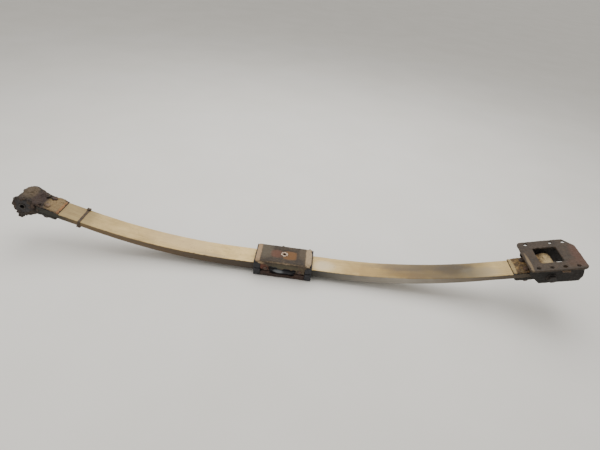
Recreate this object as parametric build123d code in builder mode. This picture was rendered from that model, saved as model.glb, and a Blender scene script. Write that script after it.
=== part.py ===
from build123d import *
from math import asin, atan2, cos, degrees, hypot, radians, sin, sqrt
import os

os.makedirs("parts", exist_ok=True)

# Glass-fibre leaf spring of a van, off the vehicle. +X runs along the leaf to the front hanger,
# +Z is up and the origin is the middle of the clamp's lower seat. All sizes are in millimetres.

# Leaf: one tapered glass-fibre bar. Its middle is flat, then each arm arches up and ends straight.
leaf_width = 70.0
leaf_thickness = 28.0
flat_half = 157.0
arch_radius = 1740.0
straight_start = 630.0
taper_start = 97.0
taper_length = 800.0
leaf_tip_run = 139.0
taper_steps = 8

# Centre clamp: two pressed shells around rubber pads.
clamp_length = 176.0
clamp_sheet = 5.0
bottom_pad_thickness = 8.0
top_pad_thickness = 14.0
pad_cheek = 2.8
ear_gap = 0.2
pad_split = 1.0
lip_length = 4.0
skirt_cutback = 18.0
end_block_clearance = 0.3
skirt_bottom = 22.0
shell_gap = 2.0
shell_corner = 9.0
band_length = 12.0
band_height = 1.5
notch_length = 98.0
notch_height = 11.0
notch_angle = 60.0
lower_notch_length = 78.0
lower_notch_depth = 8.0
recess_length = 76.0
recess_width = 44.0
recess_depth = 1.0
ear_length = 24.0
ear_top = 40.0
ear_sheet = 3.0
ear_centre = 54.0
rivet_radius = 4.0
rivet_head_radius = 7.0
rivet_head_height = 3.0
rivet_height = 32.0

# Locating sleeves pressed into the two shells.
top_sleeve_radius = 11.0
top_sleeve_bore = 5.5
top_sleeve_length = 12.0
bottom_sleeve_radius = 12.0
bottom_sleeve_bore = 7.0
bottom_sleeve_length = 11.0
sleeve_proud = 0.4

# End fittings: a steel tongue on the leaf, a plate under it, and the eye. Runs are measured along
# the straight end of the leaf, from where it starts, and heights from the leaf's top face.
leaf_gap = 0.3
tongue_start = 73.0
tongue_pad_thickness = 1.0
tongue_pad_margin = 1.5
tongue_tip_thickness = 2.5
tongue_thickness = 5.5
tongue_ramp = 22.0
fitting_width = 70.0
eye_run = 174.0
eye_drop = 10.0
eye_radius = 28.0
neck_length = 48.0
lower_plate_thickness = 8.5
lower_plate_margin = 3.0
lower_plate_eye_gap = 1.0
lower_plate_corner = 5.0
fitting_bolt_run = 111.0
fitting_bolt_spacing = 40.0
fitting_bolt_radius = 5.0
fitting_hole_radius = 5.4
fitting_head_radius = 9.0
fitting_head_height = 5.0
fitting_nut_across = 17.0
fitting_nut_height = 8.0
fitting_washer_radius = 10.5
fitting_washer_thickness = 2.0
thread_past_nut = 3.0
lug_length = 14.0
lug_width = 12.0
lug_height = 22.0
lug_offset = 8.0

# Rubber bushes in the eyes.
eye_wall = 5.5
bush_wall = 2.0
bush_sleeve_radius = 10.0
bush_bore = 7.1
bush_length = 85.8
bush_flange_step = 2.0
bush_sleeve_proud = 1.4
bush_end_inset = 0.5
running_clearance = 0.05
flange_clearance = 0.3

# Front hanger: a flanged plate with a window on a pressed channel, held by one pivot bolt. Its
# runs are measured from the eye's axis, along the same slope as the leaf's end.
plate_height = 48.5
plate_sheet = 6.0
plate_front = 90.0
plate_rear = 68.0
plate_margin = 13.0
plate_corner = 13.0
plate_chamfer_run = 24.0
plate_chamfer_side = 36.0
plate_lip_width = 4.0
plate_lip_height = 2.5
window_length = 67.0
window_width = 72.0
window_offset = 2.5
window_corner = 6.0
hanger_hole_radius = 5.5
hanger_hole_pitch = 36.0
hanger_hole_first = -43.0
hanger_hole_count = 4
hanger_hole_far_gap = 1
channel_sheet = 6.0
channel_front = 89.0
channel_rear = 60.0
channel_bottom = 20.0
channel_rear_height = 13.0
channel_front_height = -4.0
channel_front_cut = 10.0
channel_rear_cut = 26.0
weld_nut_across = 17.0
weld_nut_height = 10.0
weld_nut_bore = 5.0
weld_nut_place = 2
weld_nut_gap = 0.6
pivot_bolt_radius = 7.0
pivot_hole_radius = 7.3
pivot_head_across = 21.0
pivot_head_height = 9.0
pivot_nut_height = 11.0
pivot_washer_radius = 14.0
pivot_washer_thickness = 2.5

# Band clip around the rear arm.
clip_run = 8.0
clip_width = 8.0
clip_sheet = 1.2
seal_length = 12.0
seal_width = 9.0
seal_height = 4.0

# Sizes that follow from the ones above.
clamp_width = leaf_width + 2 * (pad_cheek + ear_gap + ear_sheet + clamp_sheet)
bush_radius = eye_radius - eye_wall
bush_flange_radius = bush_radius + bush_flange_step
bush_flange_end = bush_length / 2 - bush_sleeve_proud
hanger_hole_spacing = bush_length + 2 * (channel_sheet + weld_nut_gap) + weld_nut_across
plate_width = hanger_hole_spacing + 2 * plate_margin

# Heights of the clamp's stack, and the place and slope of the leaf's straight ends.
leaf_bottom = clamp_sheet + bottom_pad_thickness
leaf_top = leaf_bottom + leaf_thickness
clamp_height = leaf_top + top_pad_thickness + clamp_sheet
end_slope = asin((straight_start - flat_half) / arch_radius)
end_height = leaf_top + arch_radius * (1 - cos(end_slope))
eye_height = plate_height - plate_sheet
ends = {"front": 1, "rear": -1}
half_leaf = leaf_width / 2
half_clamp = clamp_length / 2
half_bush = bush_length / 2
tongue_seat = leaf_gap + tongue_pad_thickness
tongue_top = tongue_seat + tongue_thickness


def leaf_section(x):
    """Thickness of the leaf at a distance x from its middle."""
    tapered = max(0.0, x - taper_start)
    return leaf_thickness * sqrt(1 - tapered / taper_length)


end_thickness = leaf_section(straight_start)
plate_seat = -end_thickness - leaf_gap


def end_point(run, height, side=1):
    """A point on the middle plane, from its run and height on a straight end."""
    along = straight_start + run * cos(end_slope) - height * sin(end_slope)
    up = end_height + run * sin(end_slope) + height * cos(end_slope)
    return (side * along, 0, up)


def profile_plane(side, run=0.0, height=0.0, y=0.0):
    """The upright plane along the leaf, with its X along the end's slope."""
    x, _, z = end_point(run, height, side)
    slope = (side * cos(end_slope), 0, sin(end_slope))
    return Plane(origin=(x, y, z), x_dir=slope, z_dir=(0, -side, 0))


def face_plane(side, run=0.0, height=0.0):
    """The plane of the leaf's top face at a straight end, raised by height."""
    slope = (side * cos(end_slope), 0, sin(end_slope))
    normal = (-side * sin(end_slope), 0, cos(end_slope))
    return Plane(origin=end_point(run, height, side), x_dir=slope, z_dir=normal)


def cross_plane(side, run, height):
    """The plane across the leaf at a straight end, with its Y up from the leaf."""
    slope = (side * cos(end_slope), 0, sin(end_slope))
    return Plane(origin=end_point(run, height, side), x_dir=(0, side, 0), z_dir=slope)


def eye_plane(side, y=0.0):
    """The upright plane through an eye's centre, moved across by y."""
    return profile_plane(side, eye_run, -eye_drop, y)


def write(part, name):
    """Label a finished piece and write its STEP file."""
    part.label = name
    export_step(part, f"parts/{name}.step")


# Leaf
taper_points = []
for step in range(taper_steps + 1):
    x = straight_start + (taper_start - straight_start) * step / taper_steps
    slope = asin(max(0.0, x - flat_half) / arch_radius)
    depth = leaf_section(x)
    face = leaf_top + arch_radius * (1 - cos(slope))
    taper_points.append((x + depth * sin(slope), face - depth * cos(slope)))

tip_top = end_point(leaf_tip_run, 0)
tip_bottom = end_point(leaf_tip_run, -end_thickness)

with BuildPart() as leaf:
    with BuildSketch(Plane.XZ):
        with BuildLine():
            Line((0, leaf_top), (flat_half, leaf_top))
            JernArc((flat_half, leaf_top), (1, 0), arch_radius, degrees(end_slope))
            Line((straight_start, end_height), (tip_top[0], tip_top[2]))
            Line((tip_top[0], tip_top[2]), (tip_bottom[0], tip_bottom[2]))
            Line((tip_bottom[0], tip_bottom[2]), taper_points[0])
            Spline(taper_points)
            Line(taper_points[-1], (0, leaf_bottom))
            Line((0, leaf_bottom), (0, leaf_top))
        make_face()
    extrude(amount=half_leaf, both=True)
    mirror(about=Plane.YZ)
    for side in ends.values():
        with BuildSketch(face_plane(side, fitting_bolt_run)):
            with GridLocations(0, fitting_bolt_spacing, 1, 2):
                Circle(fitting_hole_radius)
        extrude(amount=leaf_thickness, both=True, mode=Mode.SUBTRACT)
write(leaf.part, "leaf")


# Centre clamp
inner_half = clamp_width / 2 - clamp_sheet
cheek_half = half_leaf + pad_cheek
pad_top = clamp_height - clamp_sheet
split_height = (leaf_bottom + leaf_top) / 2
bottom_wall_top = skirt_bottom - shell_gap
block_top = clamp_height - shell_corner
block_start = half_clamp - skirt_cutback + end_block_clearance
block_middle = (block_start + half_clamp + lip_length) / 2
block_half = half_clamp + lip_length - block_middle
lip_middle = half_clamp + (leaf_gap + lip_length) / 2
lip_half = half_clamp + lip_length - lip_middle

with BuildPart() as clamp_top_shell:
    with BuildSketch(Plane.YZ):
        with BuildLine():
            Polyline(
                (-clamp_width / 2, skirt_bottom),
                (-clamp_width / 2, clamp_height),
                (clamp_width / 2, clamp_height),
                (clamp_width / 2, skirt_bottom),
                close=True,
            )
        outer = make_face()
        fillet(outer.vertices().group_by(Axis.Y)[-1], shell_corner)
        with Locations((0, (skirt_bottom + pad_top) / 2)):
            Rectangle(2 * inner_half, pad_top - skirt_bottom, mode=Mode.SUBTRACT)
    extrude(amount=half_clamp, both=True)
    for side in ends.values():
        with BuildSketch(Plane.YZ.offset(side * (half_clamp - band_length / 2))):
            with Locations((0, clamp_height - clamp_sheet / 2)):
                Rectangle(clamp_width - 2 * shell_corner, clamp_sheet + 2 * band_height)
            with Locations((0, pad_top - band_height)):
                Rectangle(2 * inner_half, 2 * band_height, mode=Mode.SUBTRACT)
        extrude(amount=band_length / 2, both=True)
    with BuildSketch(Plane.XZ):
        with Locations((0, skirt_bottom)):
            Trapezoid(notch_length, 2 * notch_height, notch_angle)
    extrude(amount=clamp_width, both=True, mode=Mode.SUBTRACT)
    for hand in (-1, 1):
        with BuildSketch(Plane.XY.offset(block_top)):
            with Locations((0, hand * clamp_width / 2)):
                with GridLocations(clamp_length, 0, 2, 1):
                    Rectangle(2 * skirt_cutback, 2 * clamp_sheet)
        extrude(amount=skirt_bottom - block_top, mode=Mode.SUBTRACT)
    with BuildSketch(Plane.XY.offset(clamp_height)):
        RectangleRounded(recess_length, recess_width, shell_corner / 2)
    extrude(amount=-recess_depth, mode=Mode.SUBTRACT)
    with BuildSketch(Plane.XY.offset(clamp_height)):
        Circle(top_sleeve_radius)
    extrude(amount=-clamp_sheet, mode=Mode.SUBTRACT)
    with BuildSketch(Plane.XZ):
        with Locations((-ear_centre, rivet_height), (ear_centre, rivet_height)):
            Circle(rivet_radius)
    extrude(amount=clamp_width, both=True, mode=Mode.SUBTRACT)
write(clamp_top_shell.part, "clamp_top_shell")

with BuildPart() as clamp_bottom_shell:
    with BuildSketch(Plane.YZ):
        with BuildLine():
            Polyline(
                (-clamp_width / 2, 0),
                (-clamp_width / 2, bottom_wall_top),
                (clamp_width / 2, bottom_wall_top),
                (clamp_width / 2, 0),
                close=True,
            )
        outer = make_face()
        fillet(outer.vertices().group_by(Axis.Y)[0], shell_corner / 2)
        with Locations((0, (clamp_sheet + bottom_wall_top) / 2)):
            Rectangle(2 * inner_half, bottom_wall_top - clamp_sheet, mode=Mode.SUBTRACT)
    extrude(amount=half_clamp, both=True)
    with BuildSketch(Plane.XY.offset(clamp_sheet)):
        for hand in (-1, 1):
            with Locations((0, hand * (inner_half - ear_sheet / 2 - running_clearance))):
                with GridLocations(2 * ear_centre, 0, 2, 1):
                    Rectangle(ear_length, ear_sheet)
    extrude(amount=ear_top - clamp_sheet)
    with BuildSketch(Plane.XY.offset(clamp_sheet)):
        for hand in (-1, 1):
            with Locations((0, hand * inner_half)):
                with GridLocations(2 * ear_centre, 0, 2, 1):
                    Rectangle(ear_length, 2 * ear_sheet)
    extrude(amount=bottom_wall_top - clamp_sheet)
    with BuildSketch(Plane.XZ):
        with Locations((-ear_centre, rivet_height), (ear_centre, rivet_height)):
            Circle(rivet_radius)
    extrude(amount=clamp_width, both=True, mode=Mode.SUBTRACT)
    for hand in (-1, 1):
        with BuildSketch(Plane.XY):
            with Locations((0, hand * clamp_width / 2)):
                with GridLocations(clamp_length, 0, 2, 1):
                    Rectangle(2 * skirt_cutback, 2 * clamp_sheet)
        extrude(amount=bottom_wall_top, mode=Mode.SUBTRACT)
    with BuildSketch(Plane.XZ):
        with Locations((0, bottom_wall_top)):
            Trapezoid(lower_notch_length, 2 * lower_notch_depth, notch_angle, rotation=180)
    extrude(amount=clamp_width, both=True, mode=Mode.SUBTRACT)
    with BuildSketch(Plane.XY):
        Circle(bottom_sleeve_radius)
    extrude(amount=clamp_sheet, mode=Mode.SUBTRACT)
write(clamp_bottom_shell.part, "clamp_bottom_shell")

top_block_top = block_top - end_block_clearance
bottom_block_top = split_height - pad_split
top_pad_base = split_height + pad_split
block_cheek = clamp_width / 2 - inner_half - end_block_clearance

with BuildPart() as clamp_top_pad:
    with BuildSketch(Plane.YZ):
        with Locations((0, (top_pad_base + pad_top) / 2)):
            Rectangle(2 * cheek_half, pad_top - top_pad_base)
    extrude(amount=half_clamp, both=True)
    for side in ends.values():
        with BuildSketch(Plane.YZ.offset(side * block_middle)):
            with Locations((0, (top_pad_base + top_block_top) / 2)):
                Rectangle(clamp_width, top_block_top - top_pad_base)
        extrude(amount=block_half, both=True)
        with BuildSketch(Plane.YZ.offset(side * lip_middle)):
            with Locations((0, (top_pad_base + pad_top) / 2)):
                Rectangle(clamp_width, pad_top - top_pad_base)
        extrude(amount=lip_half, both=True)
    with BuildSketch(Plane.YZ):
        with Locations((0, leaf_bottom + leaf_thickness / 2)):
            Rectangle(leaf_width, leaf_thickness)
    extrude(amount=clamp_length, both=True, mode=Mode.SUBTRACT)
    with BuildSketch(Plane.XY.offset(pad_top)):
        Circle(top_sleeve_radius)
    extrude(amount=-(top_sleeve_length - clamp_sheet), mode=Mode.SUBTRACT)
write(clamp_top_pad.part, "clamp_top_pad")

with BuildPart() as clamp_bottom_pad:
    with BuildSketch(Plane.YZ):
        with Locations((0, (clamp_sheet + bottom_block_top) / 2)):
            Rectangle(2 * cheek_half, bottom_block_top - clamp_sheet)
    extrude(amount=half_clamp, both=True)
    for side in ends.values():
        with BuildSketch(Plane.YZ.offset(side * block_middle)):
            with Locations((0, (pad_split + bottom_block_top) / 2)):
                with GridLocations(clamp_width - block_cheek, 0, 2, 1):
                    Rectangle(block_cheek, bottom_block_top - pad_split)
            with Locations((0, (clamp_sheet + bottom_block_top) / 2)):
                Rectangle(clamp_width, bottom_block_top - clamp_sheet)
        extrude(amount=block_half, both=True)
        with BuildSketch(Plane.YZ.offset(side * lip_middle)):
            with Locations((0, (pad_split + bottom_block_top) / 2)):
                Rectangle(clamp_width, bottom_block_top - pad_split)
        extrude(amount=lip_half, both=True)
    with BuildSketch(Plane.YZ):
        with Locations((0, leaf_bottom + leaf_thickness / 2)):
            Rectangle(leaf_width, leaf_thickness)
    extrude(amount=clamp_length, both=True, mode=Mode.SUBTRACT)
    with BuildSketch(Plane.XY.offset(clamp_sheet)):
        Circle(bottom_sleeve_radius)
    extrude(amount=bottom_sleeve_length - clamp_sheet, mode=Mode.SUBTRACT)
write(clamp_bottom_pad.part, "clamp_bottom_pad")

with BuildPart() as clamp_rivets:
    for hand in (-1, 1):
        shank_start = inner_half - running_clearance - ear_sheet
        with BuildSketch(Plane.XZ.offset(-hand * shank_start)):
            with Locations((-ear_centre, rivet_height), (ear_centre, rivet_height)):
                Circle(rivet_radius)
        extrude(amount=-hand * (clamp_width / 2 - shank_start))
        with BuildSketch(Plane.XZ.offset(-hand * clamp_width / 2)):
            with Locations((-ear_centre, rivet_height), (ear_centre, rivet_height)):
                Circle(rivet_head_radius)
        extrude(amount=-hand * rivet_head_height, taper=20)
write(clamp_rivets.part, "clamp_rivets")

with BuildPart() as top_locating_sleeve:
    with BuildSketch(Plane.XY.offset(clamp_height - top_sleeve_length)):
        Circle(top_sleeve_radius)
        Circle(top_sleeve_bore, mode=Mode.SUBTRACT)
    extrude(amount=top_sleeve_length + sleeve_proud)
write(top_locating_sleeve.part, "top_locating_sleeve")

with BuildPart() as bottom_locating_sleeve:
    with BuildSketch(Plane.XY):
        Circle(bottom_sleeve_radius)
        Circle(bottom_sleeve_bore, mode=Mode.SUBTRACT)
    extrude(amount=bottom_sleeve_length)
write(bottom_locating_sleeve.part, "bottom_locating_sleeve")


# End fittings, bushes and their fasteners, the same at both ends
eye_top_run = eye_run - neck_length
neck_rise = tongue_top + eye_drop
neck_reach = hypot(neck_length, neck_rise)
neck_turn = atan2(neck_rise, -neck_length) - asin(sqrt(1 - (eye_radius / neck_reach) ** 2))
neck_touch = (
    eye_run + eye_radius * cos(neck_turn),
    eye_radius * sin(neck_turn) - eye_drop,
)
tongue_pad_length = leaf_tip_run - tongue_start
lower_plate_start = tongue_start + lower_plate_margin
lower_plate_length = eye_run - eye_radius - lower_plate_eye_gap - lower_plate_start
lower_plate_base = plate_seat - lower_plate_thickness
washer_base = lower_plate_base - fitting_washer_thickness
nut_base = washer_base - fitting_nut_height

for end, side in ends.items():
    with BuildPart() as eye_fitting:
        with BuildSketch(profile_plane(side)):
            with BuildLine():
                Polyline(
                    (tongue_start, tongue_seat),
                    (tongue_start, tongue_seat + tongue_tip_thickness),
                    (tongue_start + tongue_ramp, tongue_top),
                    (eye_top_run, tongue_top),
                    neck_touch,
                    (eye_run, tongue_seat),
                    close=True,
                )
            make_face()
            with Locations((eye_run, -eye_drop)):
                Circle(eye_radius)
                Circle(bush_radius, mode=Mode.SUBTRACT)
        extrude(amount=fitting_width / 2, both=True)
        with BuildSketch(face_plane(side, fitting_bolt_run)):
            with GridLocations(0, fitting_bolt_spacing, 1, 2):
                Circle(fitting_hole_radius)
        extrude(amount=2 * tongue_top, mode=Mode.SUBTRACT)
        if end == "rear":
            lug_side = lug_width / 2 - fitting_width / 2
            lug_reach = eye_radius + lug_height - bush_radius - bush_wall
            with BuildSketch(eye_plane(side, lug_side)):
                with Locations((lug_offset, lug_reach / 2 - eye_radius - lug_height)):
                    Rectangle(lug_length, lug_reach)
            extrude(amount=lug_width / 2, both=True)
    write(eye_fitting.part, f"{end}_eye_fitting")

    with BuildPart() as tongue_pad:
        with BuildSketch(face_plane(side, tongue_start - tongue_pad_margin, leaf_gap)):
            with Locations((tongue_pad_length / 2, 0)):
                Rectangle(tongue_pad_length, fitting_width + 2 * tongue_pad_margin)
        extrude(amount=tongue_pad_thickness)
        with BuildSketch(face_plane(side, fitting_bolt_run)):
            with GridLocations(0, fitting_bolt_spacing, 1, 2):
                Circle(fitting_hole_radius)
        extrude(amount=2 * tongue_top, mode=Mode.SUBTRACT)
    write(tongue_pad.part, f"{end}_tongue_pad")

    with BuildPart() as lower_plate:
        with BuildSketch(face_plane(side, lower_plate_start, lower_plate_base)):
            with Locations((lower_plate_length / 2, 0)):
                RectangleRounded(lower_plate_length, fitting_width, lower_plate_corner)
        extrude(amount=lower_plate_thickness)
        with BuildSketch(face_plane(side, fitting_bolt_run, plate_seat)):
            with GridLocations(0, fitting_bolt_spacing, 1, 2):
                Circle(fitting_hole_radius)
        extrude(amount=-2 * lower_plate_thickness, mode=Mode.SUBTRACT)
    write(lower_plate.part, f"{end}_lower_plate")

    with BuildPart() as fitting_bolts:
        with BuildSketch(face_plane(side, fitting_bolt_run, tongue_top)):
            with GridLocations(0, fitting_bolt_spacing, 1, 2):
                Circle(fitting_head_radius)
        extrude(amount=fitting_head_height, taper=25)
        with BuildSketch(face_plane(side, fitting_bolt_run, nut_base - thread_past_nut)):
            with GridLocations(0, fitting_bolt_spacing, 1, 2):
                Circle(fitting_bolt_radius)
        extrude(amount=tongue_top - nut_base + thread_past_nut)
    write(fitting_bolts.part, f"{end}_fitting_bolts")

    with BuildPart() as fitting_washers:
        with BuildSketch(face_plane(side, fitting_bolt_run, washer_base)):
            with GridLocations(0, fitting_bolt_spacing, 1, 2):
                Circle(fitting_washer_radius)
                Circle(fitting_hole_radius, mode=Mode.SUBTRACT)
        extrude(amount=fitting_washer_thickness)
    write(fitting_washers.part, f"{end}_fitting_washers")

    with BuildPart() as fitting_nuts:
        with BuildSketch(face_plane(side, fitting_bolt_run, nut_base)):
            with GridLocations(0, fitting_bolt_spacing, 1, 2):
                RegularPolygon(fitting_nut_across / 2, 6, major_radius=False)
                Circle(fitting_bolt_radius, mode=Mode.SUBTRACT)
        extrude(amount=fitting_nut_height)
    write(fitting_nuts.part, f"{end}_fitting_nuts")

    with BuildPart() as bush_outer_sleeve:
        with BuildSketch(eye_plane(side)):
            Circle(bush_radius)
            Circle(bush_radius - bush_wall, mode=Mode.SUBTRACT)
        extrude(amount=fitting_width / 2 - bush_end_inset, both=True)
    write(bush_outer_sleeve.part, f"{end}_bush_outer_sleeve")

    flange_start = fitting_width / 2 + flange_clearance
    with BuildPart() as bush_rubber:
        with BuildSketch(eye_plane(side)):
            Circle(bush_radius - bush_wall)
        extrude(amount=bush_flange_end, both=True)
        for hand in (-1, 1):
            with BuildSketch(eye_plane(side, hand * (flange_start + bush_flange_end) / 2)):
                Circle(bush_flange_radius)
            extrude(amount=(bush_flange_end - flange_start) / 2, both=True)
        with BuildSketch(eye_plane(side)):
            Circle(bush_sleeve_radius + running_clearance)
        extrude(amount=half_bush, both=True, mode=Mode.SUBTRACT)
    write(bush_rubber.part, f"{end}_bush_rubber")

    with BuildPart() as bush_inner_sleeve:
        with BuildSketch(eye_plane(side)):
            Circle(bush_sleeve_radius)
            Circle(bush_bore, mode=Mode.SUBTRACT)
        extrude(amount=half_bush, both=True)
    write(bush_inner_sleeve.part, f"{end}_bush_inner_sleeve")


# Front hanger
front = ends["front"]
plate_length = plate_front + plate_rear
wall_middle = half_bush + channel_sheet / 2
wall_outside = half_bush + channel_sheet
hanger_holes = [hanger_hole_first + hanger_hole_pitch * i for i in range(hanger_hole_count)]
far_holes = [run for i, run in enumerate(hanger_holes) if i != hanger_hole_far_gap]
half_spacing = hanger_hole_spacing / 2

with BuildPart() as hanger_plate:
    with BuildSketch(face_plane(front, eye_run, eye_height - eye_drop)):
        with BuildLine():
            Polyline(
                (-plate_rear, -plate_width / 2),
                (-plate_rear, plate_width / 2),
                (plate_front - plate_chamfer_run, plate_width / 2),
                (plate_front, plate_width / 2 - plate_chamfer_side),
                (plate_front, -plate_width / 2),
                close=True,
            )
        outline = make_face()
        near_front = outline.vertices().group_by(Axis.X)[-1].sort_by(Axis.Y)[0]
        fillet(outline.vertices().group_by(Axis.X)[0] + [near_front], plate_corner)
        with Locations((window_offset, 0)):
            RectangleRounded(window_length, window_width, window_corner, mode=Mode.SUBTRACT)
        with Locations([(run, -half_spacing) for run in hanger_holes]):
            Circle(hanger_hole_radius, mode=Mode.SUBTRACT)
        with Locations([(run, half_spacing) for run in far_holes]):
            Circle(hanger_hole_radius, mode=Mode.SUBTRACT)
    extrude(amount=plate_sheet)
    with BuildSketch(face_plane(front, eye_run, plate_height - eye_drop)):
        with Locations((plate_lip_width / 2 - plate_rear, 0)):
            Rectangle(plate_lip_width, plate_width - 2 * plate_corner)
    extrude(amount=plate_lip_height)
write(hanger_plate.part, "hanger_plate")

with BuildPart() as hanger_channel:
    for hand in (-1, 1):
        with BuildSketch(eye_plane(front, hand * wall_middle)):
            with BuildLine():
                Polyline(
                    (-channel_rear, eye_height),
                    (-channel_rear, channel_rear_height),
                    (-channel_rear + channel_rear_cut, -channel_bottom),
                    (channel_front - channel_front_cut, -channel_bottom),
                    (channel_front, channel_front_height),
                    (channel_front, eye_height),
                    close=True,
                )
            make_face()
            Circle(pivot_hole_radius, mode=Mode.SUBTRACT)
        extrude(amount=channel_sheet / 2, both=True)
    with BuildSketch(eye_plane(front)):
        with Locations((channel_front - channel_sheet / 2, (channel_front_height + eye_height) / 2)):
            Rectangle(channel_sheet, eye_height - channel_front_height)
    extrude(amount=wall_middle, both=True)
write(hanger_channel.part, "hanger_channel")

with BuildPart() as hanger_weld_nut:
    with BuildSketch(face_plane(front, eye_run, eye_height - eye_drop)):
        with Locations((hanger_holes[weld_nut_place], -half_spacing)):
            RegularPolygon(weld_nut_across / 2, 6, major_radius=False)
            Circle(weld_nut_bore, mode=Mode.SUBTRACT)
    extrude(amount=-weld_nut_height)
write(hanger_weld_nut.part, "hanger_weld_nut")

washer_outside = wall_outside + pivot_washer_thickness
head_middle = washer_outside + pivot_head_height / 2
nut_middle = washer_outside + pivot_nut_height / 2
bolt_end = washer_outside + pivot_nut_height + thread_past_nut

with BuildPart() as hanger_pivot_bolt:
    with BuildSketch(eye_plane(front, -head_middle)):
        RegularPolygon(pivot_head_across / 2, 6, major_radius=False)
    extrude(amount=pivot_head_height / 2, both=True)
    with BuildSketch(eye_plane(front, (bolt_end - washer_outside) / 2)):
        Circle(pivot_bolt_radius)
    extrude(amount=(bolt_end + washer_outside) / 2, both=True)
write(hanger_pivot_bolt.part, "hanger_pivot_bolt")

with BuildPart() as hanger_pivot_washers:
    for hand in (-1, 1):
        with BuildSketch(eye_plane(front, hand * (wall_outside + washer_outside) / 2)):
            Circle(pivot_washer_radius)
            Circle(pivot_hole_radius, mode=Mode.SUBTRACT)
        extrude(amount=pivot_washer_thickness / 2, both=True)
write(hanger_pivot_washers.part, "hanger_pivot_washers")

with BuildPart() as hanger_pivot_nut:
    with BuildSketch(eye_plane(front, nut_middle)):
        RegularPolygon(pivot_head_across / 2, 6, major_radius=False)
        Circle(pivot_bolt_radius, mode=Mode.SUBTRACT)
    extrude(amount=pivot_nut_height / 2, both=True)
write(hanger_pivot_nut.part, "hanger_pivot_nut")


# Band clip around the rear arm, with its two crimp seals
clip_inside = (leaf_width + 2 * leaf_gap, end_thickness + 2 * leaf_gap)
clip_outside = (clip_inside[0] + 2 * clip_sheet, clip_inside[1] + 2 * clip_sheet)

with BuildPart() as band_clip:
    with BuildSketch(cross_plane(ends["rear"], clip_run, -end_thickness / 2)):
        Rectangle(*clip_outside)
        Rectangle(*clip_inside, mode=Mode.SUBTRACT)
    extrude(amount=clip_width / 2, both=True)
write(band_clip.part, "band_clip")

with BuildPart() as band_clip_seals:
    for hand, face in ((-1, 1), (1, -1)):
        with BuildSketch(cross_plane(ends["rear"], clip_run, -end_thickness / 2)):
            seal_across = hand * (clip_outside[0] / 2 - seal_width / 2)
            seal_up = face * (clip_outside[1] + seal_height) / 2
            with Locations((seal_across, seal_up)):
                Rectangle(seal_width, seal_height)
        extrude(amount=seal_length / 2, both=True)
write(band_clip_seals.part, "band_clip_seals")
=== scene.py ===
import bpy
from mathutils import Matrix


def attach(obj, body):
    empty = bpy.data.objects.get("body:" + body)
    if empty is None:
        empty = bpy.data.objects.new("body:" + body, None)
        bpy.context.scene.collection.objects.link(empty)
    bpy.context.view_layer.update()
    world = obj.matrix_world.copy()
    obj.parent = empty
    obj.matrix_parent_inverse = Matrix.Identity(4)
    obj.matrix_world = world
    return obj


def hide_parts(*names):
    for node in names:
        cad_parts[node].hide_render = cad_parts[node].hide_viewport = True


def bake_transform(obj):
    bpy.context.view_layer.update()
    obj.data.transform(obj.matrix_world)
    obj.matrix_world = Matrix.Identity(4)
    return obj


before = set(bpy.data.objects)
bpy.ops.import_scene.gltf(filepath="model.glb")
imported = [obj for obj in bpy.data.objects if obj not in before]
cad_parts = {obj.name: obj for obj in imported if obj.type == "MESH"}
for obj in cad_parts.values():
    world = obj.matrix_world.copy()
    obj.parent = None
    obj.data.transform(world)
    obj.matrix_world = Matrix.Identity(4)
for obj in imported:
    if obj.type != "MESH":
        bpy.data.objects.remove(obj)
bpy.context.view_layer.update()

import math
import random
import bpy
import bmesh
from mathutils import Vector, noise

mm = 0.001  # in metres


def tint(code):  # an sRGB hex colour, turned linear for a shader
    parts = [int(code[i:i + 2], 16) / 255 for i in (1, 3, 5)]
    return [c / 12.92 if c <= 0.04045 else ((c + 0.055) / 1.055) ** 2.4 for c in parts] + [1.0]


def addNode(tree, kind, links=None, stops=None, **settings):
    node = tree.nodes.new(kind)
    for name, value in settings.items():
        setattr(node, name, value)
    for socket, value in (links or {}).items():
        if isinstance(value, bpy.types.NodeSocket):
            tree.links.new(value, node.inputs[socket])
        else:
            node.inputs[socket].default_value = value
    if stops:  # a ramp's colours, or its grey levels, by position
        ramp = node.color_ramp
        while len(ramp.elements) < len(stops):
            ramp.elements.new(1.0)
        for element, (place, value) in zip(ramp.elements, stops):
            element.position = place
            element.color = tint(value) if isinstance(value, str) else (value, value, value, 1.0)
    return node


def newMaterial(name):
    material = bpy.data.materials.new(name)
    material.use_nodes = True
    tree = material.node_tree
    return material, tree, tree.nodes["Principled BSDF"]


patchDefaults = {
    "square": 2.0,               # 2 gives an oval patch, 8 an almost square one
    "ragged": 1.2,               # how far the edge wanders
    "inner": 1.1, "outer": 2.0,  # where it starts to fade, and where it has gone
    "strength": 0.8,
}


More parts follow.
